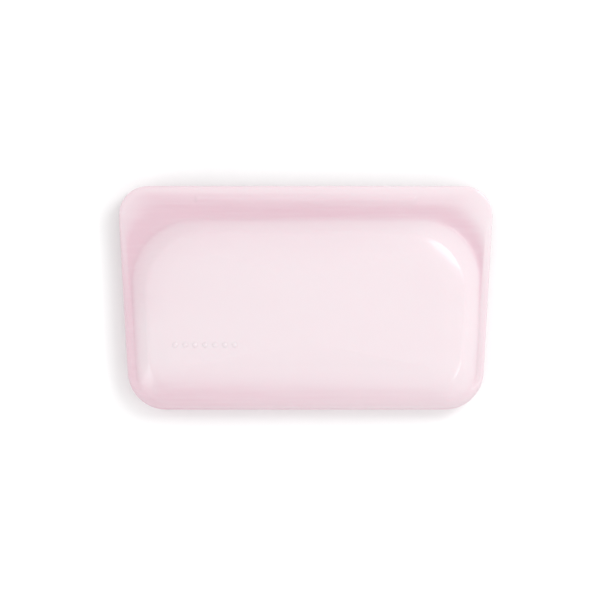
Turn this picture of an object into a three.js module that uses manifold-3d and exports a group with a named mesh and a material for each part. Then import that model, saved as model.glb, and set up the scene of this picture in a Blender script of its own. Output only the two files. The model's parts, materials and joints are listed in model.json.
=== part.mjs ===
// Reusable silicone storage bag, lying on its rear wall with its mouth towards +Y.
//
// Two moulded half shells, front and rear, meet at a parting plane and are joined by seam beads along
// both sides and the bottom. Each half carries a flat lip beyond a narrow neck. A rib under the front
// lip presses into a channel on the rear lip and closes the mouth.
//
// Millimetres. X runs across the bag, +Y towards the mouth, +Z up. The origin is the centre of the
// bounding box, on the surface that the bag lies on.

import * as THREE from 'three';
import { mergeVertices } from 'three/addons/utils/BufferGeometryUtils.js';
import Module from 'manifold-3d';

const wasm = await Module();
wasm.setup();

// ---------------------------------------------------------------- driving dimensions

// Outline of the whole bag, seen from above. The widths are those that the straight sides would have
// at the mouth edge and at the bottom edge if the corners were square.
const HEIGHT = 114.3;
const WIDTH_AT_MOUTH = 192.25;
const WIDTH_AT_BOTTOM = 179.3;
const MOUTH_CORNER_RADIUS = 15;
const BOTTOM_CORNER_RADIUS = 20;

// Depths of the two half shells, measured from the plane where they meet.
const REAR_DEPTH = 9.5;
const FRONT_DEPTH = 13;

// Silicone thicknesses and the clearance left between neighbouring pieces.
const WALL = 1.5;
const LIP_THICKNESS = 1.6;
const CLEARANCE = 0.3;

// Pillow: the raised part of each half shell. Its upper corners are rounder than the bag's.
const PILLOW_MARGIN = 1.2;
const PILLOW_BELOW_MOUTH = 17;
const PILLOW_MOUTH_RADIUS = 26;
const PILLOW_BOTTOM_RADIUS = 19;
const SHOULDER_WIDTH = 13;
const SHOULDER_FALL = 2.5;

// Seam bead between the half shells, and the flat flange of each shell on either side of it.
const SEAM_THICKNESS = 1.2;
const SEAM_WIDTH = 2.7;

// Lips: the flat flanges beyond the neck.
const LIP_LENGTH = 11.6;
const LIP_GAP = 3;
const LIP_EDGE_ROUNDING = 0.4;

// Press seal: a channel with two rails on the rear lip, and the rib that sits between the rails.
const CHANNEL_LENGTH = 164;
const SEAL_BELOW_MOUTH = 7.2;
const GROOVE_WIDTH = 2.6;
const RAIL_WIDTH = 1.3;
const CHANNEL_FLOOR = 0.8;
const RIB_WIDTH = 1.6;
const RIB_TIP_WIDTH = 1.2;
const RIB_LENGTH = 162;

// Grip band: the thicker stretch of the front lip that the fingers pull.
const GRIP_LENGTH = 112;
const GRIP_WIDTH = 6.6;
const GRIP_THICKNESS = 0.8;

// Smoothness of the facets.
const CORNER_SEGMENTS = 8;
const SHOULDER_SEGMENTS = 5;

// ---------------------------------------------------------------- places worked out from them

const MOUTH_Y = HEIGHT / 2;
const BOTTOM_Y = -HEIGHT / 2;
const SEAM_Z = REAR_DEPTH;
const FLANGE_OFFSET = SEAM_THICKNESS / 2 + CLEARANCE;
const NECK_Y = MOUTH_Y - LIP_LENGTH;
const LIP_OFFSET = LIP_GAP / 2;
const SEAL_Y = MOUTH_Y - SEAL_BELOW_MOUTH;
const CHANNEL_WIDTH = GROOVE_WIDTH + 2 * RAIL_WIDTH;
const CHANNEL_HEIGHT = LIP_GAP - 2 * CLEARANCE;
const RIB_HEIGHT = CHANNEL_HEIGHT - CHANNEL_FLOOR - CLEARANCE;
const CORNER_START_Y = BOTTOM_Y + BOTTOM_CORNER_RADIUS;
const SEAM_END_Y = MOUTH_Y - MOUTH_CORNER_RADIUS;
const LARGE = 2 * WIDTH_AT_MOUTH;

// ---------------------------------------------------------------- shape helpers

/** Half the bag's width at a height y, where its straight sides lean in towards the bottom. */
function halfWidthAt(y) {
  const share = (y - BOTTOM_Y) / HEIGHT;
  return (WIDTH_AT_BOTTOM + (WIDTH_AT_MOUTH - WIDTH_AT_BOTTOM) * share) / 2;
}

/** A trapezoid with straight sides and round corners, its sides moved in by inset. */
function roundedTrapezoid(bottomY, mouthY, bottomRadius, mouthRadius, inset) {
  const corners = [
    { x: -halfWidthAt(bottomY) + inset, y: bottomY, radius: bottomRadius },
    { x: halfWidthAt(bottomY) - inset, y: bottomY, radius: bottomRadius },
    { x: halfWidthAt(mouthY) - inset, y: mouthY, radius: mouthRadius },
    { x: -halfWidthAt(mouthY) + inset, y: mouthY, radius: mouthRadius },
  ];
  const shape = new THREE.Shape();
  corners.forEach((corner, index) => {
    const before = corners[(index + 3) % 4];
    const after = corners[(index + 1) % 4];
    const here = new THREE.Vector2(corner.x, corner.y);
    const backward = new THREE.Vector2(before.x, before.y).sub(here).normalize();
    const forward = new THREE.Vector2(after.x, after.y).sub(here).normalize();
    const halfAngle = Math.acos(backward.dot(forward)) / 2;
    const bisector = backward.clone().add(forward).normalize();
    const centre = here.clone().addScaledVector(bisector, corner.radius / Math.sin(halfAngle));
    const tangent = corner.radius / Math.tan(halfAngle);
    const arcStart = here.clone().addScaledVector(backward, tangent).sub(centre);
    const arcEnd = here.clone().addScaledVector(forward, tangent).sub(centre);
    shape.absarc(centre.x, centre.y, corner.radius, arcStart.angle(), arcEnd.angle(), false);
  });
  shape.closePath();
  return shape;
}

/** The outline of the whole bag, moved in by inset on every side. */
function bagOutline(inset = 0) {
  return roundedTrapezoid(
    BOTTOM_Y + inset,
    MOUTH_Y - inset,
    BOTTOM_CORNER_RADIUS - inset,
    MOUTH_CORNER_RADIUS - inset,
    inset,
  );
}

/** The outline of the raised pillow, moved in by inset on every side. */
function pillowOutline(inset) {
  return roundedTrapezoid(
    BOTTOM_Y + PILLOW_MARGIN + inset,
    MOUTH_Y - PILLOW_BELOW_MOUTH - inset,
    PILLOW_BOTTOM_RADIUS - inset,
    PILLOW_MOUTH_RADIUS - inset,
    PILLOW_MARGIN + inset,
  );
}

/** A flat plate of a shape, from z = low to z = high. */
function plate(shape, low, high) {
  const geometry = new THREE.ExtrudeGeometry(shape, {
    depth: high - low,
    bevelEnabled: false,
    curveSegments: CORNER_SEGMENTS,
  });
  return geometry.translate(0, 0, low);
}

/** A plate with rounded edges, from z = low to z = high. */
function softPlate(shape, low, high, rounding) {
  const geometry = new THREE.ExtrudeGeometry(shape, {
    depth: high - low - 2 * rounding,
    bevelThickness: rounding,
    bevelSize: rounding,
    bevelOffset: -rounding,
    bevelSegments: 1,
    curveSegments: CORNER_SEGMENTS,
  });
  return geometry.translate(0, 0, low + rounding);
}

/** A block with round shoulders above and below z = 0, reaching height on each side of it. */
function pillow(shape, height, shoulderWidth, shoulderHeight) {
  const straight = 2 * (height - shoulderHeight);
  const geometry = new THREE.ExtrudeGeometry(shape, {
    depth: straight,
    bevelThickness: shoulderHeight,
    bevelSize: shoulderWidth,
    bevelOffset: -shoulderWidth,
    bevelSegments: SHOULDER_SEGMENTS,
    curveSegments: CORNER_SEGMENTS,
  });
  return geometry.translate(0, 0, -straight / 2);
}

/** A box between two corners. */
function box(low, high) {
  const size = high.map((value, axis) => value - low[axis]);
  const centre = high.map((value, axis) => (value + low[axis]) / 2);
  return new THREE.BoxGeometry(...size).translate(...centre);
}

// ---------------------------------------------------------------- solid helpers

/** A closed geometry as a solid that can be joined to others and cut. */
function solid(geometry) {
  const bare = geometry.clone();
  bare.deleteAttribute('normal');
  bare.deleteAttribute('uv');
  const merged = mergeVertices(bare);
  return new wasm.Manifold(new wasm.Mesh({
    numProp: 3,
    vertProperties: new Float32Array(merged.attributes.position.array),
    triVerts: new Uint32Array(merged.index.array),
  }));
}

/** A solid back as a geometry. */
function geometryOf(manifold) {
  const mesh = manifold.getMesh();
  const geometry = new THREE.BufferGeometry();
  geometry.setAttribute('position', new THREE.BufferAttribute(mesh.vertProperties, 3));
  geometry.setIndex(new THREE.BufferAttribute(mesh.triVerts, 1));
  geometry.computeVertexNormals();
  return geometry;
}

// ---------------------------------------------------------------- materials

/** Soft translucent silicone, shown as an opaque tint. */
function silicone(colour, roughness) {
  return new THREE.MeshStandardMaterial({ color: colour, roughness, metalness: 0 });
}

// ---------------------------------------------------------------- sub-parts

/**
 * One half shell: a flat flange with a hollow pillow raised from it. Its flange lies on z = 0 and its
 * pillow reaches z = height.
 */
function halfShell(height) {
  const belowNeck = box([-LARGE, -LARGE, -LARGE], [LARGE, NECK_Y - CLEARANCE / 2, LARGE]);
  const flange = solid(plate(bagOutline(), 0, WALL)).intersect(solid(belowNeck));
  const shoulder = height - SHOULDER_FALL;
  const above = solid(box([-LARGE, -LARGE, 0], [LARGE, LARGE, LARGE]));
  const outside = solid(pillow(pillowOutline(0), height, SHOULDER_WIDTH, shoulder)).intersect(above);
  const inside = solid(pillow(
    pillowOutline(WALL),
    height - WALL,
    SHOULDER_WIDTH - WALL,
    shoulder - WALL,
  ));
  return geometryOf(flange.add(outside).subtract(inside));
}

/** The upper half shell. */
function frontPanel() {
  const geometry = halfShell(FRONT_DEPTH - FLANGE_OFFSET);
  const mesh = new THREE.Mesh(geometry, silicone(0xf5e6ec, 0.38));
  mesh.name = 'front_panel';
  mesh.position.z = SEAM_Z + FLANGE_OFFSET;
  return mesh;
}

/** The lower half shell, turned over so that its pillow hangs from its flange. */
function rearPanel() {
  const geometry = halfShell(REAR_DEPTH - FLANGE_OFFSET);
  const mesh = new THREE.Mesh(geometry, silicone(0xf1dde5, 0.4));
  mesh.name = 'rear_panel';
  mesh.rotation.y = Math.PI;
  mesh.position.z = SEAM_Z - FLANGE_OFFSET;
  return mesh;
}

/** A flat lip: the bag's outline beyond the neck, from z = low to z = high. */
function lipGeometry(low, high) {
  const whole = solid(softPlate(bagOutline(), low, high, LIP_EDGE_ROUNDING));
  const beyondNeck = box([-LARGE, NECK_Y + CLEARANCE / 2, -LARGE], [LARGE, LARGE, LARGE]);
  return geometryOf(whole.intersect(solid(beyondNeck)));
}

/** The lip of the front half. */
function frontLip() {
  const mesh = new THREE.Mesh(
    lipGeometry(LIP_OFFSET, LIP_OFFSET + LIP_THICKNESS),
    silicone(0xfaebf0, 0.36),
  );
  mesh.name = 'front_lip';
  mesh.position.z = SEAM_Z;
  return mesh;
}

/** The lip of the rear half. */
function rearLip() {
  const mesh = new THREE.Mesh(
    lipGeometry(-LIP_OFFSET - LIP_THICKNESS, -LIP_OFFSET),
    silicone(0xf1dde5, 0.4),
  );
  mesh.name = 'rear_lip';
  mesh.position.z = SEAM_Z;
  return mesh;
}

/** A straight bar of a cross-section given in (y, z), centred on x = 0. */
function bar(section, length) {
  const shape = new THREE.Shape(section.map(([y, z]) => new THREE.Vector2(y, z)));
  const geometry = new THREE.ExtrudeGeometry(shape, { depth: length, bevelEnabled: false });
  // The shape's x and y become the bar's y and z, and its depth runs along x.
  const toBar = new THREE.Matrix4().makeBasis(
    new THREE.Vector3(0, 1, 0),
    new THREE.Vector3(0, 0, 1),
    new THREE.Vector3(1, 0, 0),
  );
  return geometry.applyMatrix4(toBar).translate(-length / 2, 0, 0);
}

/** The channel track that stands on the rear lip: a floor and two rails. */
function sealChannel() {
  const half = CHANNEL_WIDTH / 2;
  const groove = GROOVE_WIDTH / 2;
  const section = [
    [-half, 0],
    [half, 0],
    [half, CHANNEL_HEIGHT],
    [groove, CHANNEL_HEIGHT],
    [groove, CHANNEL_FLOOR],
    [-groove, CHANNEL_FLOOR],
    [-groove, CHANNEL_HEIGHT],
    [-half, CHANNEL_HEIGHT],
  ];
  const mesh = new THREE.Mesh(bar(section, CHANNEL_LENGTH), silicone(0xe9c9d5, 0.4));
  mesh.name = 'seal_channel';
  mesh.position.set(0, SEAL_Y, SEAM_Z - LIP_OFFSET + CLEARANCE);
  return mesh;
}

/** The rib that hangs from the front lip into the channel. It narrows towards its tip. */
function sealRib() {
  const section = [
    [-RIB_TIP_WIDTH / 2, -RIB_HEIGHT],
    [RIB_TIP_WIDTH / 2, -RIB_HEIGHT],
    [RIB_WIDTH / 2, 0],
    [-RIB_WIDTH / 2, 0],
  ];
  const mesh = new THREE.Mesh(bar(section, RIB_LENGTH), silicone(0xe9c9d5, 0.4));
  mesh.name = 'seal_rib';
  mesh.position.set(0, SEAL_Y, SEAM_Z + LIP_OFFSET - CLEARANCE);
  return mesh;
}

/** The raised band on the front lip, with round ends. */
function gripBand() {
  const radius = GRIP_WIDTH / 2;
  const straight = GRIP_LENGTH / 2 - radius;
  const shape = new THREE.Shape();
  shape.absarc(straight, 0, radius, -Math.PI / 2, Math.PI / 2, false);
  shape.absarc(-straight, 0, radius, Math.PI / 2, 1.5 * Math.PI, false);
  shape.closePath();
  const mesh = new THREE.Mesh(plate(shape, 0, GRIP_THICKNESS), silicone(0xf3dde5, 0.36));
  mesh.name = 'grip_band';
  mesh.position.set(0, SEAL_Y, SEAM_Z + LIP_OFFSET + LIP_THICKNESS + CLEARANCE);
  return mesh;
}

/** The stretch of the seam bead that lies between two corners of a box seen from above. */
function seamStretch(name, low, high) {
  const half = SEAM_THICKNESS / 2;
  const inner = solid(plate(bagOutline(SEAM_WIDTH), -SEAM_THICKNESS, SEAM_THICKNESS));
  const ring = solid(plate(bagOutline(), -half, half)).subtract(inner);
  const stretch = ring.intersect(solid(box([...low, -LARGE], [...high, LARGE])));
  const mesh = new THREE.Mesh(geometryOf(stretch), silicone(0xedd0db, 0.4));
  mesh.name = name;
  mesh.position.z = SEAM_Z;
  return mesh;
}

/** The seam beads along both sides and the bottom. */
function seams() {
  const sideLow = CORNER_START_Y + CLEARANCE;
  return [
    seamStretch('left_side_seam', [-LARGE, sideLow], [0, SEAM_END_Y]),
    seamStretch('right_side_seam', [0, sideLow], [LARGE, SEAM_END_Y]),
    seamStretch('bottom_seam', [-LARGE, -LARGE], [LARGE, CORNER_START_Y]),
  ];
}

// ---------------------------------------------------------------- the bag

/** The whole bag, closed. */
function siliconeBag() {
  const bag = new THREE.Group();
  bag.add(rearPanel(), frontPanel(), rearLip(), frontLip());
  bag.add(sealChannel(), sealRib(), gripBand());
  bag.add(...seams());
  return bag;
}

export default siliconeBag();
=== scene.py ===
"""Looks of a reusable silicone bag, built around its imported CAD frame.

The bag lies closed on its rear wall, with its mouth towards +Y. Lengths in the classes are millimetres,
because the bag is thin, and are turned into metres when a mesh is made.
"""

import json
import logging
import math
from dataclasses import dataclass, field
from enum import Enum

import bpy
import numpy as np
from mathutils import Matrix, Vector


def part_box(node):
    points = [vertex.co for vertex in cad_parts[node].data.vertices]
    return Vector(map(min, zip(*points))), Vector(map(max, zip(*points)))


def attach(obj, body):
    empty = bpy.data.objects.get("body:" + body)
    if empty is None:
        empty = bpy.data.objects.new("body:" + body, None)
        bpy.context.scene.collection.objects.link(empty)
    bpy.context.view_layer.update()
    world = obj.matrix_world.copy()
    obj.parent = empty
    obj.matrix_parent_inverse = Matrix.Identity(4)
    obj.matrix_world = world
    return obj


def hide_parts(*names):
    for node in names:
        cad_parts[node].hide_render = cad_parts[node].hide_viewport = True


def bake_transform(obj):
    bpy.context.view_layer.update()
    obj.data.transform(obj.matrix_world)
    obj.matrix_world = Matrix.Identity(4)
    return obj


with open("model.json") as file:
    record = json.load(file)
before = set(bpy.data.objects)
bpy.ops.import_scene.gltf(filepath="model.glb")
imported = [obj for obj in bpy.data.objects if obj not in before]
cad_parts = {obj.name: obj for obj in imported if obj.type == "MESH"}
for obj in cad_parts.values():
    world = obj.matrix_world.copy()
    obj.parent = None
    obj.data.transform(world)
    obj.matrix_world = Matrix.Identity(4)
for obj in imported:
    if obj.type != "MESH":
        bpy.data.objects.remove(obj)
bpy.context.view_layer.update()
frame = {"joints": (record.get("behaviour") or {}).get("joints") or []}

MM = 0.001
TINY = 1e-9
SPLINE_DEGREE = 3
MERGE_DISTANCE = 0.02 * MM
# The point attribute paints depth of colour: partly silicone seen through at a slant, partly painted shade
# in the moat behind the lip, along the edges and on the bottom slope, which faces away from the key light.
DEPTH_AND_SHADE_ATTRIBUTE = "depth_and_painted_shade"
LOG = logging.getLogger("silicone_bag")

Colour = tuple[float, float, float]
Place = tuple[float, float, float]


# ---------------------------------------------------------------- small helpers


def smooth(value: np.ndarray) -> np.ndarray:
    """Ease from 0 to 1: 3t² − 2t³ with t held between 0 and 1.

    Args:
        value: The share of the way, of any size.

    Returns:
        The eased share, of the same shape.
    """
    t = np.clip(value, 0.0, 1.0)
    return t * t * (3.0 - 2.0 * t)


def spline_basis(count: int, samples: int) -> np.ndarray:
    """Weights of a clamped cubic B-spline: each row blends the stations for one sample along it.

    Args:
        count: How many stations the spline has.
        samples: How many evenly spaced samples are wanted.

    Returns:
        An array of samples by count, whose rows add up to 1.
    """
    degree = SPLINE_DEGREE
    inner = np.arange(1, count - degree)
    knots = np.concatenate([np.zeros(degree + 1), inner, np.full(degree + 1, count - degree)]).astype(float)
    t = np.linspace(0.0, count - degree, samples)
    t[-1] -= TINY
    basis = ((t[:, None] >= knots[:-1]) & (t[:, None] < knots[1:])).astype(float)
    for order in range(1, degree + 1):
        size = len(knots) - 1 - order
        low, high = knots[:size], knots[order : order + size]
        next_low, next_high = knots[1 : 1 + size], knots[order + 1 : order + 1 + size]
        rise = np.divide(t[:, None] - low, high - low, out=np.zeros((samples, size)), where=high > low)
        fall = np.divide(
            next_high - t[:, None],
            next_high - next_low,
            out=np.zeros((samples, size)),
            where=next_high > next_low,
        )
        basis = rise * basis[:, :size] + fall * basis[:, 1 : 1 + size]
    return basis


def grid_faces(rows: int, columns: int, close_rows: bool = False) -> np.ndarray:
    """Quads of a grid of points stored row by row.

    Args:
        rows: Rows of points.
        columns: Points in a row.
        close_rows: True where the last row joins the first.

    Returns:
        An array of quads by 4 point numbers.
    """
    number = np.arange(rows * columns).reshape(rows, columns)
    if close_rows:
        number = np.vstack([number, number[:1]])
    a, b = number[:-1, :-1], number[:-1, 1:]
    c, d = number[1:, 1:], number[1:, :-1]
    return np.stack([a, b, c, d], axis=-1).reshape(-1, 4)


def far_cap(rows: int, columns: int) -> np.ndarray:
    """The ring of point numbers that closes the last column of a tube whose rows go round it."""
    return (np.arange(rows) * columns + columns - 1)[None, ::-1]


def make_mesh(
    name: str, points: np.ndarray, faces: np.ndarray, density: np.ndarray, caps: np.ndarray | None = None
) -> bpy.types.Object:
    """A smooth-shaded object from points in millimetres.

    Args:
        name: The piece's name.
        points: Points by 3 coordinates, in millimetres.
        faces: Quads by 4 point numbers.
        density: One value from 0 to 1 per point that paints depth of colour: partly how much silicone the
            eye looks into there, partly painted shade.
        caps: Rings of point numbers, one row for each small face that closes an end.

    Returns:
        The linked object, which sits at the origin.
    """
    mesh = bpy.data.meshes.new(name)
    polygons = faces.tolist() + ([] if caps is None else caps.tolist())
    mesh.from_pydata((points * MM).tolist(), [], polygons)
    mesh.polygons.foreach_set("use_smooth", np.ones(len(mesh.polygons), dtype=bool))
    attribute = mesh.attributes.new(DEPTH_AND_SHADE_ATTRIBUTE, "FLOAT", "POINT")
    attribute.data.foreach_set("value", density.astype(np.float32))
    mesh.update()
    piece = bpy.data.objects.new(name, mesh)
    bpy.context.collection.objects.link(piece)
    return piece


def mirror_across_middle(piece: bpy.types.Object) -> None:
    """Complete a right half with its mirror image across x = 0, joined along the middle."""
    mirror = piece.modifiers.new("other_half", "MIRROR")
    mirror.use_axis = (True, False, False)
    mirror.use_mirror_merge = True
    mirror.merge_threshold = MERGE_DISTANCE


# ---------------------------------------------------------------- outline of the bag


@dataclass(frozen=True)
class Outline:
    """The bag seen from above: a trapezoid with round corners, symmetric about x = 0.

    `steps` counts the segments of half a ring: bottom, lower corner, side, upper corner and mouth. The
    reaches are shares of the side or of the upper corner, over which one region's values fade into the next.
    """

    height: float = 114.3
    width_at_mouth: float = 192.25
    width_at_bottom: float = 179.3
    steps: tuple[int, int, int, int, int] = (40, 24, 46, 36, 118)
    form_down_side: float = 0.25
    form_into_corner: float = 0.8
    shade_down_side: float = 0.6
    shade_side_length: float = 0.7
    shade_from_corner: float = 0.35
    shade_corner_length: float = 0.85

    @property
    def mouth_y(self) -> float:
        """The y of the mouth edge."""
        return self.height / 2

    @property
    def lean(self) -> float:
        """The angle by which each side leans outwards."""
        return math.atan((self.width_at_mouth - self.width_at_bottom) / 2 / self.height)

    def half_rings(self, insets: np.ndarray, radii: np.ndarray) -> tuple[np.ndarray, np.ndarray]:
        """Right halves of rings inside the outline, each from the bottom middle round to the mouth middle.

        A ring has straight edges moved in from the outline by its insets, joined by arcs of its radii:
        centre + radius · (cos a, sin a).

        Args:
            insets: Rings by 3: how far the mouth edge, side and bottom edge are moved in.
            radii: Rings by 2: the corner radius at the mouth and at the bottom.

        Returns:
            The x and the y of every point, each rings by points.
        """
        mouth_in, side_in, bottom_in = insets.T[:, :, None]
        mouth_r, bottom_r = radii.T[:, :, None]
        lean, bottom_y = self.lean, -self.mouth_y
        low_y = bottom_y + bottom_in + bottom_r
        high_y = self.mouth_y - mouth_in - mouth_r

        def centre_x(y: np.ndarray, radius: np.ndarray) -> np.ndarray:
            """The x at which a corner's centre is its radius away from the leaning side."""
            across = math.sin(lean) * (y - bottom_y) - side_in - radius
            return self.width_at_bottom / 2 + across / math.cos(lean)

        low_x, high_x = centre_x(low_y, bottom_r), centre_x(high_y, mouth_r)
        n_bottom, n_low, n_side, n_high, n_mouth = self.steps
        low_a = np.linspace(-math.pi / 2, -lean, n_low + 1)
        high_a = np.linspace(-lean, math.pi / 2, n_high + 1)
        side = np.linspace(0, 1, n_side + 1)[1:-1]
        low_arc = (low_x + bottom_r * np.cos(low_a), low_y + bottom_r * np.sin(low_a))
        high_arc = (high_x + mouth_r * np.cos(high_a), high_y + mouth_r * np.sin(high_a))
        along_bottom = np.linspace(0, 1, n_bottom + 1)[:-1]
        along_mouth = np.linspace(1, 0, n_mouth + 1)[1:]
        x = [low_x * along_bottom, low_arc[0]]
        y = [(low_y - bottom_r) + 0 * along_bottom, low_arc[1]]
        x += [low_arc[0][:, -1:] * (1 - side) + high_arc[0][:, :1] * side, high_arc[0]]
        y += [low_arc[1][:, -1:] * (1 - side) + high_arc[1][:, :1] * side, high_arc[1]]
        x.append(high_x * along_mouth)
        y.append((high_y + mouth_r) + 0 * along_mouth)
        return np.concatenate(x, axis=1), np.concatenate(y, axis=1)

    def region_shares(self) -> np.ndarray:
        """How much each point of a ring belongs to the mouth edge, the side and the bottom edge.

        Returns:
            3 by points. The shares change smoothly through the corners and add up to 1.
        """
        n_bottom, n_low, n_side, n_high, _ = self.steps
        index = np.arange(sum(self.steps) + 1, dtype=float)
        corner_high = n_bottom + n_low + n_side
        lead = self.form_down_side * n_side
        mouth = smooth((index - corner_high + lead) / (lead + self.form_into_corner * n_high))
        bottom = 1 - smooth((index - n_bottom) / n_low)
        return np.stack([mouth, 1 - mouth - bottom, bottom])

    def depth_and_shade_shares(self) -> np.ndarray:
        """How much each point of a ring takes the mouth's, upper corner's, side's and bottom's depth of
        colour, which is partly painted shade.

        Returns:
            4 by points. The corner's share trails off down the side; the shares add up to 1.
        """
        n_bottom, n_low, n_side, n_high, _ = self.steps
        index = np.arange(sum(self.steps) + 1, dtype=float)
        corner_high = n_bottom + n_low + n_side
        past_side = index - corner_high + self.shade_down_side * n_side
        upper = smooth(past_side / (self.shade_side_length * n_side))
        past_corner = index - corner_high - self.shade_from_corner * n_high
        mouth = smooth(past_corner / (self.shade_corner_length * n_high))
        bottom = 1 - smooth((index - n_bottom) / n_low)
        return np.stack([mouth, upper - mouth, 1 - upper - bottom, bottom])


# ---------------------------------------------------------------- walls


@dataclass(frozen=True)
class Station:
    """One place on a wall's section, in millimetres.

    Insets and heights are those at the mouth, the side and the bottom. Radii are those of the upper and the
    lower corner. Densities, which paint the depth of colour and partly paint shade, are those at the mouth,
    the upper corner, the side and the bottom.
    """

    insets: tuple[float, float, float]
    radii: tuple[float, float]
    heights: tuple[float, float, float]
    densities: tuple[float, float, float, float]


# The last numbers of each station paint depth of colour: partly silicone seen through at a slant, partly
# painted shade in the moat behind the lip (the densest stations), along the edges and on the bottom slope,
# which faces away from the key light.
FRONT_STATIONS = (
    Station((1.3, 0.75, 0.75), (13.8, 19.2), (2.9, 1.5, 0.9), (0.20, 0.22, 0.56, 0.55)),
    Station((1.9, 1.1, 1.0), (13.4, 18.9), (3.1, 1.75, 1.7), (0.10, 0.10, 0.56, 0.56)),
    Station((3.7, 1.8, 1.3), (13.2, 18.6), (3.1, 1.95, 2.5), (0.14, 0.12, 0.54, 0.58)),
    Station((5.0, 2.3, 1.6), (14.6, 18.3), (3.15, 2.05, 3.2), (0.48, 0.18, 0.52, 0.60)),
    Station((7.4, 2.8, 1.9), (17.0, 18.0), (3.2, 2.15, 3.8), (0.60, 0.26, 0.52, 0.62)),
    Station((10.2, 3.3, 2.3), (19.5, 17.6), (3.0, 2.2, 4.4), (0.80, 0.42, 0.52, 0.62)),
    Station((11.6, 3.7, 2.8), (22.0, 17.2), (2.5, 2.2, 5.0), (0.94, 0.74, 0.54, 0.62)),
    Station((14.0, 4.1, 3.4), (26.0, 16.7), (2.2, 2.2, 5.6), (0.98, 1.00, 0.56, 0.61)),
    Station((16.4, 4.5, 4.0), (29.5, 16.3), (2.3, 2.3, 6.1), (0.90, 1.00, 0.56, 0.60)),
    Station((17.6, 4.9, 4.7), (31.0, 16.0), (2.8, 2.6, 6.6), (0.66, 0.88, 0.46, 0.63)),
    Station((18.4, 5.6, 5.6), (31.0, 15.8), (3.6, 3.2, 7.2), (0.36, 0.36, 0.28, 0.62)),
    Station((20.2, 7.6, 7.2), (31.0, 15.6), (5.4, 4.9, 8.1), (0.27, 0.26, 0.09, 0.60)),
    Station((22.4, 9.8, 9.0), (31.0, 15.5), (7.5, 6.8, 8.9), (0.24, 0.20, 0.03, 0.58)),
    Station((23.8, 11.2, 11.0), (30.5, 15.5), (8.8, 8.1, 9.7), (0.23, 0.17, 0.01, 0.46)),
    Station((25.2, 12.4, 13.4), (30.0, 14.5), (9.6, 8.9, 10.3), (0.21, 0.14, 0.01, 0.28)),
    Station((29.0, 16.2, 17.0), (27.0, 11.5), (10.6, 9.9, 11.0), (0.16, 0.09, 0.01, 0.14)),
    Station((34.5, 22.5, 22.0), (22.0, 8.0), (11.5, 11.0, 11.6), (0.10, 0.05, 0.01, 0.05)),
)

# The last numbers paint depth of colour as on the front wall: partly silicone seen through, partly painted
# shade in the crease at the neck and along the edges.
REAR_STATIONS = (
    Station((0.8, 0.75, 0.75), (14.2, 19.2), (2.9, 1.5, 0.9), (0.15, 0.15, 0.55, 0.75)),
    Station((1.5, 1.2, 1.0), (13.6, 18.9), (3.1, 1.75, 1.6), (0.12, 0.12, 0.45, 0.75)),
    Station((4.4, 2.6, 1.6), (14.6, 18.4), (3.1, 2.0, 2.7), (0.45, 0.45, 0.40, 0.72)),
    Station((7.2, 3.5, 2.4), (17.0, 17.6), (3.1, 2.2, 3.6), (0.50, 0.50, 0.40, 0.68)),
    Station((10.2, 4.2, 3.1), (19.5, 17.0), (3.0, 2.4, 4.4), (0.60, 0.60, 0.45, 0.64)),
    Station((11.6, 4.6, 3.8), (22.5, 16.4), (2.6, 2.6, 5.1), (0.90, 0.90, 0.75, 0.60)),
    Station((13.4, 5.2, 4.8), (27.5, 15.8), (2.8, 3.4, 5.8), (0.95, 0.95, 0.75, 0.55)),
    Station((15.6, 6.2, 6.2), (32.0, 15.0), (4.2, 4.8, 6.6), (0.85, 0.85, 0.60, 0.50)),
    Station((17.6, 8.0, 7.9), (34.5, 13.6), (6.0, 6.4, 7.4), (0.60, 0.60, 0.50, 0.42)),
    Station((20.4, 10.6, 10.2), (33.5, 12.0), (7.6, 7.8, 8.3), (0.40, 0.40, 0.38, 0.34)),
    Station((24.0, 13.4, 13.2), (30.5, 10.0), (8.8, 8.9, 9.1), (0.26, 0.26, 0.26, 0.26)),
    Station((28.5, 17.5, 17.0), (27.0, 8.0), (9.42, 9.42, 9.44), (0.18, 0.18, 0.18, 0.18)),
    Station((34.0, 23.0, 22.0), (22.0, 6.0), (9.5, 9.5, 9.5), (0.12, 0.12, 0.12, 0.12)),
)


class Half(Enum):
    """Which half shell of the bag a wall belongs to, and the way it faces."""

    FRONT = 1
    REAR = -1


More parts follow.
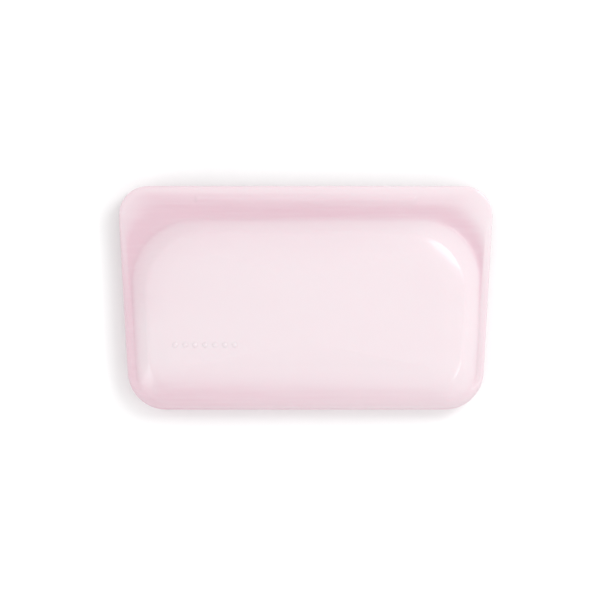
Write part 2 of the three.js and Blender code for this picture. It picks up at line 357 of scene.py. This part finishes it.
@dataclass
class Wall:
    """One moulded half of the bag, with its lip: a profile carried round the outline and capped.

    The grip fields place the thicker band on the lip, measured from the mouth edge. The wave lengths are
    those of the slow unevenness of soft silicone.
    """

    half: Half
    stations: tuple[Station, ...]
    crown: float
    seam_z: float
    outline: Outline = field(default_factory=Outline)
    thickness: float = 1.5
    rings: int = 66
    cap_rings: int = 14
    cap_gather: float = 0.45
    rim_rows: int = 5
    grip_half_length: float = 56.0
    grip_from: float = 4.4
    grip_to: float = 10.0
    grip_rise: float = 0.42
    grip_end_ease: float = 0.9
    grip_edge_ease: float = 2.6
    waviness: float = 0.22
    wave_phase: float = 0.8
    short_wave: tuple[float, float] = (13.0, 17.0)
    long_wave: tuple[float, float] = (29.0, 11.0)

    def outer_surface(self) -> tuple[np.ndarray, np.ndarray]:
        """The side of the wall that faces away from the pouch, above the seam plane.

        Ring insets, radii, heights and densities are B-spline blends of the stations. Inside the last
        ring, the cap runs straight to the middle line and rises to the crown as 1 − (1 − q)².

        Returns:
            Points (rows by columns by 3) and densities (rows by columns).
        """
        basis = spline_basis(len(self.stations), self.rings)
        insets = basis @ np.array([s.insets for s in self.stations])
        radii = basis @ np.array([s.radii for s in self.stations])
        heights = basis @ np.array([s.heights for s in self.stations]) @ self.outline.region_shares()
        densities = basis @ np.array([s.densities for s in self.stations]) @ self.outline.depth_and_shade_shares()
        x, y = self.outline.half_rings(insets, radii)
        q = np.linspace(0, 1, self.cap_rings + 1)[1:, None]
        middle_y = (y[-1].min() + y[-1].max()) / 2
        cap_x = x[-1] * (1 - q)
        cap_y = y[-1] + q * self.cap_gather * (middle_y - y[-1])
        cap_z = heights[-1] + (self.crown - heights[-1]) * (1 - (1 - q) ** 2)
        x, y = np.vstack([x, cap_x]), np.vstack([y, cap_y])
        z = np.vstack([heights, cap_z])
        density = np.vstack([densities, densities[-1] * (1 - q)])
        z = z + self.waviness * self.waves(x, y)
        if self.half is Half.FRONT:
            z = z + self.grip_rise * self.grip_relief(x, y)
        else:
            z = np.minimum(z, self.crown)
        return np.stack([x, y, z], axis=-1), np.clip(density, 0, 1)

    def waves(self, x: np.ndarray, y: np.ndarray) -> np.ndarray:
        """The slow unevenness of soft silicone: cos(x/a) cos(y/b + φ) + cos(x/c) sin(y/d + φ)."""
        phase = self.wave_phase * self.half.value
        a, b = self.short_wave
        c, d = self.long_wave
        return np.cos(x / a) * np.cos(y / b + phase) + np.cos(x / c) * np.sin(y / d + phase)

    def grip_relief(self, x: np.ndarray, y: np.ndarray) -> np.ndarray:
        """The raised band on the lip: 1 on it, with crisp ends and long soft edges."""
        below_mouth = self.outline.mouth_y - y
        ends = smooth((self.grip_half_length - np.abs(x)) / self.grip_end_ease + 0.5)
        outer = smooth((below_mouth - self.grip_from) / self.grip_edge_ease)
        inner = smooth((self.grip_to - below_mouth) / self.grip_edge_ease)
        return ends * outer * inner

    def normals(self, points: np.ndarray) -> np.ndarray:
        """Unit normals of a grid, from the cross product of its two directions, pointing up."""
        along = np.gradient(points, axis=1)
        along[:, [0, -1], 1:] = 0.0
        along[:, 0, 0], along[:, -1, 0] = 1.0, -1.0
        across = np.gradient(points, axis=0)
        across[:, [0, -1], 0] = 0.0
        normal = np.cross(along, across)
        normal[-1, :, 0] = 0.0
        return normal / np.maximum(np.linalg.norm(normal, axis=-1, keepdims=True), TINY)

    def half_mesh(self) -> tuple[np.ndarray, np.ndarray, np.ndarray]:
        """The right half as a wall with thickness: outer side, round rim, inner side.

        The inner side is the outer one moved in by the thickness along its normals. The rim is a half
        circle between them: centre + t/2 · (cos a · up + sin a · out).

        Returns:
            Points, faces and densities.
        """
        outer, density = self.outer_surface()
        normal = self.normals(outer)
        inner = outer - self.thickness * normal
        inner[-1, :, 0] = 0.0
        inner[:, [0, -1], 0] = 0.0
        centre = (outer[0] + inner[0]) / 2
        up = (outer[0] - inner[0]) / 2
        along = np.gradient(outer[0], axis=0)
        along[[0, -1], 1:] = 0.0
        out = np.cross(along, up)
        out *= (self.thickness / 2) / np.maximum(np.linalg.norm(out, axis=1, keepdims=True), TINY)
        out[[0, -1], 0] = 0.0
        angle = np.linspace(math.pi, 0, self.rim_rows + 2)[1:-1, None, None]
        rim = centre + np.cos(angle) * up + np.sin(angle) * out
        rows = np.concatenate([inner[::-1], rim, outer])
        rim_density = np.repeat(density[:1], self.rim_rows, axis=0)
        shade = np.concatenate([density[::-1], rim_density, density])
        rows[..., 2] *= self.half.value
        rows[..., 2] += self.seam_z
        faces = grid_faces(rows.shape[0], rows.shape[1])
        if self.half is Half.REAR:
            faces = faces[:, ::-1]
        return rows.reshape(-1, 3), faces, shade.reshape(-1)

    def build(self, name: str) -> bpy.types.Object:
        """The whole wall, with its other half mirrored on."""
        piece = make_mesh(name, *self.half_mesh())
        mirror_across_middle(piece)
        return piece


# ---------------------------------------------------------------- seam, seal and marks


@dataclass
class SeamBead:
    """The vulcanised bead between the two walls: a flattened round section carried round the outline."""

    seam_z: float
    outline: Outline = field(default_factory=Outline)
    inset: float = 1.05
    half_width: float = 0.95
    half_height: float = 0.85
    upper_radius: float = 15.0
    lower_radius: float = 20.0
    around: int = 12
    end_y: float = 44.0
    taper: float = 3.0
    tip: float = 0.02
    density: float = 0.5

    def build(self, name: str) -> bpy.types.Object:
        """The bead along both sides and the bottom.

        Each point is the path's point + size · (out · w cos a + up · h sin a), and the size shrinks near
        the mouth as √(1 − (1 − u)²), which rounds the end off.

        Args:
            name: The piece's name.

        Returns:
            The bead.
        """
        inset = np.array([[self.inset] * 3])
        radii = np.array([[self.upper_radius - self.inset, self.lower_radius - self.inset]])
        x, y = self.outline.half_rings(inset, radii)
        keep = y[0] < self.end_y
        path = np.stack([x[0][keep], y[0][keep], np.zeros(keep.sum())], axis=-1)
        along = np.gradient(path, axis=0)
        along[0] = (1, 0, 0)
        out = np.cross(along, (0, 0, 1))
        out /= np.linalg.norm(out, axis=1, keepdims=True)
        left = self.end_y - path[:, 1]
        size = np.sqrt(1 - (1 - np.clip(left / self.taper, 0, 1)) ** 2)
        size[-1] = self.tip
        angle = np.linspace(0, 2 * math.pi, self.around, endpoint=False)[:, None, None]
        flat = self.half_width * np.cos(angle) * out * size[:, None]
        tall = self.half_height * np.sin(angle) * np.array([0.0, 0.0, 1.0]) * size[:, None]
        points = path + flat + tall
        points[..., 2] += self.seam_z
        faces = grid_faces(self.around, path.shape[0], close_rows=True)
        density = np.full(points.shape[0] * points.shape[1], self.density)
        caps = far_cap(self.around, path.shape[0])
        piece = make_mesh(name, points.reshape(-1, 3), faces, density, caps)
        mirror_across_middle(piece)
        return piece


@dataclass
class PressSeal:
    """The rib and the channel that press together behind the mouth edge.

    Heights are above the seam plane. The roots reach a little into the lips that carry them.
    """

    seal_y: float
    seam_z: float
    half_length: float = 82.0
    rib_shorter_by: float = 1.0
    end_round: float = 1.2
    tip: float = 0.02
    steps: int = 90
    end_steps: int = 6
    density: float = 0.85
    nose_radii: tuple[float, float] = (0.72, 0.5)
    nose_z: float = 0.45
    rib_root: tuple[tuple[float, float], ...] = ((0.85, 2.15), (0.0, 2.25), (-0.85, 2.15))
    rail_radius: float = 0.65
    rail_offset: float = 1.95
    rail_z: float = 0.55
    groove: tuple[tuple[float, float], ...] = ((1.2, -0.35), (0.0, -0.45), (-1.2, -0.35))
    channel_base: tuple[tuple[float, float], ...] = ((-2.6, -2.0), (0.0, -2.1), (2.6, -2.0))

    def bar(self, name: str, section: np.ndarray, half_length: float) -> bpy.types.Object:
        """A straight bar of a closed section, rounded off at its ends, half of it mirrored on.

        The section is carried along x and shrinks about its middle near the end as √(1 − u²).

        Args:
            name: The piece's name.
            section: Points by (y, z), anticlockwise seen from +X.
            half_length: Half the bar's length.

        Returns:
            The bar.
        """
        reach = self.end_round
        straight = half_length - reach
        bow = np.sin(np.linspace(0, math.pi / 2, self.end_steps + 1)[1:])
        x = np.concatenate([np.linspace(0, straight, self.steps), straight + reach * bow])
        u = np.clip((x - straight) / reach, 0, 1)
        size = np.maximum(np.sqrt(1 - u * u), self.tip)
        middle = (section.min(axis=0) + section.max(axis=0)) / 2
        rows = middle + (section - middle)[:, None, :] * size[:, None]
        points = np.concatenate([np.broadcast_to(x, rows.shape[:2])[..., None], rows], axis=-1)
        points = points + np.array([0.0, self.seal_y, self.seam_z])
        faces = grid_faces(len(section), len(x), close_rows=True)[:, ::-1]
        caps = far_cap(len(section), len(x))[:, ::-1]
        density = np.full(len(section) * len(x), self.density)
        piece = make_mesh(name, points.reshape(-1, 3), faces, density, caps)
        mirror_across_middle(piece)
        return piece

    def rib(self, name: str) -> bpy.types.Object:
        """The bead under the front lip: a stem with a rounded tip."""
        under = np.linspace(math.pi, 2 * math.pi, 9)
        wide, tall = self.nose_radii
        nose = np.stack([wide * np.cos(under), self.nose_z + tall * np.sin(under)], axis=-1)
        section = np.vstack([nose, np.array(self.rib_root)])
        return self.bar(name, section, self.half_length - self.rib_shorter_by)

    def channel(self, name: str) -> bpy.types.Object:
        """The track on the rear lip: a floor with two rails that are rounded on top."""
        over = np.linspace(0, math.pi, 7)
        rise = self.rail_z + self.rail_radius * np.sin(over)
        rail = np.stack([self.rail_radius * np.cos(over), rise], axis=-1)
        right, left = rail + (self.rail_offset, 0), rail - (self.rail_offset, 0)
        groove, base = np.array(self.groove), np.array(self.channel_base)
        return self.bar(name, np.vstack([right, groove, left, base]), self.half_length)


@dataclass
class MarkRow:
    """A short row of small raised pips on the front wall, a plain mark with no meaning."""

    front: Wall
    first_x: float = -66.0
    pitch: float = 5.0
    count: int = 7
    centre_y: float = -24.0
    radius: float = 1.9
    height: float = 0.9
    sunk: float = 0.5
    rings: int = 8
    around: int = 24
    pole: float = 0.05
    under_share: float = 0.25
    density: float = 0.02
    neighbours: int = 4

    def one_pip(self) -> tuple[np.ndarray, np.ndarray, np.ndarray]:
        """A round dome about the origin, closed below by a flatter one.

        The dome's height is h · (1 − r²), and its under side is a share of that, upside down.

        Returns:
            Points, quads and the two small faces that close its poles.
        """
        share = np.linspace(self.pole, 1, self.rings)
        share = np.concatenate([share, share[-2::-1]])
        side = np.where(np.arange(len(share)) < self.rings, 1.0, -self.under_share)
        angle = np.linspace(0, 2 * math.pi, self.around, endpoint=False)
        x = self.radius * share[:, None] * np.cos(angle)
        y = self.radius * share[:, None] * np.sin(angle)
        z = np.broadcast_to((side * self.height * (1 - share**2) - self.sunk)[:, None], x.shape)
        points = np.stack([x, y, z], axis=-1).reshape(-1, 3)
        number = np.arange(len(points)).reshape(len(share), self.around)
        wrapped = np.hstack([number, number[:, :1]])
        low, high = wrapped[:-1], wrapped[1:]
        quads = np.stack([high[:, :-1], high[:, 1:], low[:, 1:], low[:, :-1]], -1).reshape(-1, 4)
        return points, quads, np.stack([number[0], number[-1][::-1]])

    def build(self, name: str) -> bpy.types.Object:
        """The pips, each sunk a little into the crown of the wall.

        Args:
            name: The piece's name.

        Returns:
            All the pips, as one piece.
        """
        pip, quads, caps = self.one_pip()
        x = self.first_x + self.pitch * np.arange(self.count)
        centres = np.stack([x, np.full(self.count, self.centre_y), self.surface_height(x)], axis=-1)
        points = (centres[:, None] + pip).reshape(-1, 3)
        offset = len(pip) * np.arange(self.count)[:, None, None]
        faces = (quads + offset).reshape(-1, 4)
        ends = (caps + offset).reshape(-1, self.around)
        return make_mesh(name, points, faces, np.full(len(points), self.density), ends)

    def surface_height(self, x: np.ndarray) -> np.ndarray:
        """The wall's height along the row, between the grid points on both sides of it."""
        outer, _ = self.front.outer_surface()
        grid = outer.reshape(-1, 3)
        apart = np.hypot(np.abs(x[:, None]) - grid[:, 0], self.centre_y - grid[:, 1])
        nearest = np.argsort(apart, axis=1)[:, : self.neighbours]
        weight = 1 / (np.take_along_axis(apart, nearest, axis=1) + 1e-6)
        return self.front.seam_z + (grid[nearest, 2] * weight).sum(1) / weight.sum(1)


# ---------------------------------------------------------------- finishes


# Painted shade: how much the colour deepens per metre towards −X, the side away from the key light.
LEFT_SIDE_SHADE = 12.0
CLOUD_SCALE = 28.0
HAZE_SCALE = 420.0
GRAIN_SCALE = 2600.0
FLOW_SCALE = 520.0
FLOW_STRETCH = (0.06, 1.0, 1.0)
FLOW_STRENGTH = 0.5
CLOUD_ROUGHNESS = 0.4
HAZE_ROUGHNESS = 0.12
GRAIN_HEIGHT = 0.03
SHEEN = 0.8


def depth_and_shade_group() -> bpy.types.NodeTree:
    """The shared look of milky silicone: pale where it is thin, deeper where the eye looks into more
    silicone or where shade is painted in.

    Colour = pale + (deep − pale) · (density − d · x · density · (1 − density) ± flow lines ± clouding). The
    density is partly painted shade, and the d · x term is painted shade too: the colour is deeper towards
    −X, the side away from the key light, and paler towards +X. The lines run along the mouth where the bag
    is dense.
    Roughness varies with the same clouds and with fine handling haze. Height is slow unevenness with a very
    fine grain. Sheen is s · (1 − the shaded density), so the dense lip looks duller.

    Returns:
        A shader node group with the outputs Colour, Roughness, Height and Sheen.
    """
    group = bpy.data.node_groups.new("depth_and_painted_shade", "ShaderNodeTree")
    face = group.interface
    for name, kind in (
        ("Pale", "NodeSocketColor"),
        ("Deep", "NodeSocketColor"),
        ("Density", "NodeSocketFloat"),
        ("Clouding", "NodeSocketFloat"),
        ("Base Roughness", "NodeSocketFloat"),
    ):
        face.new_socket(name, in_out="INPUT", socket_type=kind)
    face.new_socket("Colour", in_out="OUTPUT", socket_type="NodeSocketColor")
    face.new_socket("Roughness", in_out="OUTPUT", socket_type="NodeSocketFloat")
    face.new_socket("Height", in_out="OUTPUT", socket_type="NodeSocketFloat")
    face.new_socket("Sheen", in_out="OUTPUT", socket_type="NodeSocketFloat")
    nodes, links = group.nodes, group.links
    inputs = nodes.new("NodeGroupInput")
    outputs = nodes.new("NodeGroupOutput")
    coordinates = nodes.new("ShaderNodeTexCoord")

    def noise(scale: float, detail: float) -> bpy.types.Node:
        """A noise texture over the piece's own coordinates."""
        texture = nodes.new("ShaderNodeTexNoise")
        texture.inputs["Scale"].default_value = scale
        texture.inputs["Detail"].default_value = detail
        links.new(coordinates.outputs["Object"], texture.inputs["Vector"])
        return texture

    def calculate(operation: str, first: object, second: object) -> bpy.types.NodeSocket:
        """One sum or product of two sockets or numbers."""
        node = nodes.new("ShaderNodeMath")
        node.operation = operation
        for slot, value in zip(node.inputs, (first, second)):
            if isinstance(value, bpy.types.NodeSocket):
                links.new(value, slot)
            else:
                slot.default_value = value
        return node.outputs["Value"]

    clouds = noise(CLOUD_SCALE, 3.0).outputs["Fac"]
    haze = noise(HAZE_SCALE, 2.0).outputs["Fac"]
    grain = noise(GRAIN_SCALE, 1.0).outputs["Fac"]
    swing = calculate("MULTIPLY", calculate("SUBTRACT", clouds, 0.5), inputs.outputs["Clouding"])
    split = nodes.new("ShaderNodeSeparateXYZ")
    links.new(coordinates.outputs["Object"], split.inputs["Vector"])
    density = inputs.outputs["Density"]
    room = calculate("MULTIPLY", density, calculate("SUBTRACT", 1.0, density))
    # Painted shade: deeper colour towards −X, away from the key light, paler towards +X.
    left_shade = calculate("MULTIPLY", room, calculate("MULTIPLY", split.outputs["X"], LEFT_SIDE_SHADE))
    shaded_density = calculate("SUBTRACT", density, left_shade)
    stretched = nodes.new("ShaderNodeMapping")
    stretched.inputs["Scale"].default_value = FLOW_STRETCH
    links.new(coordinates.outputs["Object"], stretched.inputs["Vector"])
    flow = noise(FLOW_SCALE, 2.0)
    links.new(stretched.outputs["Vector"], flow.inputs["Vector"])
    lines = calculate("MULTIPLY", calculate("SUBTRACT", flow.outputs["Fac"], 0.5), shaded_density)
    streaked = calculate("ADD", shaded_density, calculate("MULTIPLY", lines, FLOW_STRENGTH))
    depth = calculate("ADD", streaked, swing)
    mix = nodes.new("ShaderNodeMix")
    mix.data_type = "RGBA"
    links.new(depth, mix.inputs["Factor"])
    links.new(inputs.outputs["Pale"], mix.inputs[6])
    links.new(inputs.outputs["Deep"], mix.inputs[7])
    links.new(mix.outputs[2], outputs.inputs["Colour"])
    cloudy = calculate("MULTIPLY", swing, CLOUD_ROUGHNESS)
    rough = calculate("ADD", inputs.outputs["Base Roughness"], cloudy)
    fine = calculate("MULTIPLY", calculate("SUBTRACT", haze, 0.5), HAZE_ROUGHNESS)
    links.new(calculate("ADD", rough, fine), outputs.inputs["Roughness"])
    height = calculate("ADD", clouds, calculate("MULTIPLY", grain, GRAIN_HEIGHT))
    links.new(height, outputs.inputs["Height"])
    sheen = calculate("SUBTRACT", SHEEN, calculate("MULTIPLY", shaded_density, SHEEN))
    links.new(sheen, outputs.inputs["Sheen"])
    return group


@dataclass(frozen=True)
class SiliconeFinish:
    """Milky translucent silicone of one part of the bag."""

    name: str
    pale: Colour
    deep: Colour
    clouding: float = 0.12
    roughness: float = 0.36
    subsurface: float = 0.2
    subsurface_radius: Colour = (1.0, 0.62, 0.7)
    subsurface_scale: float = 0.003
    ior: float = 1.41
    specular_level: float = 0.22
    coat_roughness: float = 0.17
    bump_strength: float = 1.0
    bump_distance: float = 0.0005

    def material(self, depth_group: bpy.types.NodeTree) -> bpy.types.Material:
        """The finish as a material that reads the piece's density, which paints depth of colour and partly
        shade.

        Args:
            depth_group: The shared silicone group.

        Returns:
            The material.
        """
        material = bpy.data.materials.new(self.name)
        material.use_nodes = True
        nodes, links = material.node_tree.nodes, material.node_tree.links
        shader = nodes["Principled BSDF"]
        density = nodes.new("ShaderNodeAttribute")
        density.attribute_name = DEPTH_AND_SHADE_ATTRIBUTE
        look = nodes.new("ShaderNodeGroup")
        look.node_tree = depth_group
        look.inputs["Pale"].default_value = (*self.pale, 1)
        look.inputs["Deep"].default_value = (*self.deep, 1)
        look.inputs["Clouding"].default_value = self.clouding
        look.inputs["Base Roughness"].default_value = self.roughness
        links.new(density.outputs["Fac"], look.inputs["Density"])
        links.new(look.outputs["Colour"], shader.inputs["Base Color"])
        links.new(look.outputs["Roughness"], shader.inputs["Roughness"])
        bump = nodes.new("ShaderNodeBump")
        bump.inputs["Strength"].default_value = self.bump_strength
        bump.inputs["Distance"].default_value = self.bump_distance
        links.new(look.outputs["Height"], bump.inputs["Height"])
        links.new(bump.outputs["Normal"], shader.inputs["Normal"])
        shader.inputs["Subsurface Weight"].default_value = self.subsurface
        shader.inputs["Subsurface Radius"].default_value = self.subsurface_radius
        shader.inputs["Subsurface Scale"].default_value = self.subsurface_scale
        shader.inputs["IOR"].default_value = self.ior
        shader.inputs["Specular IOR Level"].default_value = self.specular_level
        links.new(look.outputs["Sheen"], shader.inputs["Coat Weight"])
        shader.inputs["Coat Roughness"].default_value = self.coat_roughness
        return material


FRONT_FINISH = SiliconeFinish("front_silicone", (0.79, 0.677, 0.711), (0.706, 0.507, 0.570))
REAR_FINISH = SiliconeFinish("rear_silicone", (0.785, 0.667, 0.703), (0.705, 0.51, 0.573))
SEAM_FINISH = SiliconeFinish("seam_silicone", (0.78, 0.64, 0.68), (0.70, 0.495, 0.565))


# ---------------------------------------------------------------- the bag


@dataclass
class SiliconeBag:
    """The whole bag: two walls with their lips, the seams between them, the seal and the mark row."""

    seam_above_bead: float = 0.6
    front_crown: float = 12.98
    rear_crown: float = 9.5
    flex_from: float = -3.0
    flex_to: float = 6.5

    def __post_init__(self) -> None:
        """Read the places that the CAD frame gives."""
        self.seam_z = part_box("bottom_seam")[0].z / MM + self.seam_above_bead
        self.half_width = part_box("front_panel")[1].x / MM
        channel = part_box("seal_channel")
        self.seal_y = (channel[0].y + channel[1].y) / 2 / MM
        flex = next(j for j in frame["joints"] if j["name"] == "rear_lip_flex")
        self.flex_y = flex["pos_m"][1] / MM
        self.depth_group = depth_and_shade_group()
        self.finishes = {
            finish.name: finish.material(self.depth_group)
            for finish in (FRONT_FINISH, REAR_FINISH, SEAM_FINISH)
        }

    def dress(self, piece: bpy.types.Object, finish: SiliconeFinish) -> None:
        """Give a piece its material and log how many points it has."""
        piece.data.materials.append(self.finishes[finish.name])
        LOG.info("%s: %d points", piece.name, len(piece.data.vertices))

    def bow_with_mouth(self, piece: bpy.types.Object) -> None:
        """Bake a piece's placement into its mesh."""
        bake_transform(piece)

    def front_wall(self) -> None:
        """The upper wall with its lip and grip band, and the row of marks on it."""
        wall = Wall(Half.FRONT, FRONT_STATIONS, self.front_crown, self.seam_z)
        piece = wall.build("front_wall")
        self.bow_with_mouth(piece)
        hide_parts("front_panel", "front_lip", "grip_band")
        self.dress(piece, FRONT_FINISH)
        marks = MarkRow(wall).build("mark_row")
        self.bow_with_mouth(marks)
        self.dress(marks, FRONT_FINISH)

    def rear_wall(self) -> None:
        """The lower wall with its lip."""
        wall = Wall(Half.REAR, REAR_STATIONS, self.rear_crown, self.seam_z)
        piece = wall.build("rear_wall")
        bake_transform(piece)
        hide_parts("rear_panel", "rear_lip")
        self.dress(piece, REAR_FINISH)

    def seams(self) -> None:
        """The bead that joins the walls along both sides and the bottom."""
        piece = SeamBead(self.seam_z).build("seam_bead")
        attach(piece, "rear_half")
        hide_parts("left_side_seam", "right_side_seam", "bottom_seam")
        self.dress(piece, SEAM_FINISH)

    def seal(self) -> None:
        """The press seal: its rib under the front lip, and its channel attached to the rear lip's flap."""
        press = PressSeal(self.seal_y, self.seam_z)
        rib = press.rib("rib_bead")
        self.bow_with_mouth(rib)
        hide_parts("seal_rib")
        self.dress(rib, SEAM_FINISH)
        channel = press.channel("channel_track")
        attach(channel, "rear_lip_flap")
        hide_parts("seal_channel")
        self.dress(channel, SEAM_FINISH)

    def build(self) -> None:
        """Make every piece."""
        self.rear_wall()
        self.seams()
        self.seal()
        self.front_wall()


# ---------------------------------------------------------------- studio


@dataclass(frozen=True)
class Lamp:
    """An oval area light: its place and size in metres and its power in watts."""

    name: str
    place: Place
    size: tuple[float, float]
    power: float


LAMPS = (
    Lamp("key", (0.67, 0.54, 0.98), (0.56, 0.56), 3.6),
    Lamp("strip", (0.87, 0.57, 0.94), (1.0, 0.05), 1.6),
    Lamp("kicker", (0.96, -0.40, 0.94), (0.5, 0.05), 1.1),
    Lamp("fill", (-1.2, -0.62, 0.45), (0.8, 0.5), 2.7),
)


@dataclass
class Studio:
    """A white sweep, a soft key light, two strips, a soft fill and a camera straight above."""

    floor_half: float = 1.5
    floor_white: float = 0.94
    floor_roughness: float = 0.8
    surround: float = 0.92
    camera_height: float = 1.6
    view_width: float = 0.3073
    sensor: float = 36.0
    aim: tuple[float, float] = (-0.0029, -0.0012)

    def floor(self) -> None:
        """The plain surface that the bag lies on."""
        half = self.floor_half
        corners = np.array([(-half, -half, 0), (half, -half, 0), (half, half, 0), (-half, half, 0)])
        mesh = bpy.data.meshes.new("floor")
        mesh.from_pydata(corners.tolist(), [], [(0, 1, 2, 3)])
        floor = bpy.data.objects.new("floor", mesh)
        bpy.context.collection.objects.link(floor)
        material = bpy.data.materials.new("white_sweep")
        material.use_nodes = True
        shader = material.node_tree.nodes["Principled BSDF"]
        shader.inputs["Base Color"].default_value = (*[self.floor_white] * 3, 1)
        shader.inputs["Roughness"].default_value = self.floor_roughness
        mesh.materials.append(material)

    def hang(self, lamp: Lamp) -> None:
        """Hang a lamp in its place, aimed at the bag."""
        data = bpy.data.lights.new(lamp.name, "AREA")
        data.shape = "ELLIPSE"
        data.size, data.size_y = lamp.size
        data.energy = lamp.power
        light = bpy.data.objects.new(lamp.name, data)
        light.location = lamp.place
        light.rotation_euler = (-light.location).to_track_quat("-Z", "Y").to_euler()
        bpy.context.collection.objects.link(light)

    def lights(self) -> None:
        """A soft key from the upper right, two strips that the shoulders reflect, a fill and a surround."""
        for lamp in LAMPS:
            self.hang(lamp)
        world = bpy.data.worlds.new("surround")
        world.use_nodes = True
        background = world.node_tree.nodes["Background"]
        background.inputs["Color"].default_value = (1, 1, 1, 1)
        background.inputs["Strength"].default_value = self.surround
        bpy.context.scene.world = world

    def camera(self) -> None:
        """A long lens straight above, with the mouth at the top of the picture."""
        data = bpy.data.cameras.new("camera")
        data.sensor_width = self.sensor
        data.lens = self.sensor * self.camera_height / self.view_width
        camera = bpy.data.objects.new("camera", data)
        camera.location = (*self.aim, self.camera_height)
        bpy.context.collection.objects.link(camera)
        bpy.context.scene.camera = camera

    def build(self) -> None:
        """Set up the whole studio."""
        self.floor()
        self.lights()
        self.camera()
        bpy.context.scene.view_settings.view_transform = "Standard"


def main() -> None:
    """Build the studio and the bag."""
    logging.basicConfig(level=logging.INFO, format="%(name)s: %(message)s")
    Studio().build()
    SiliconeBag().build()


if __name__ == "__main__":
    main()
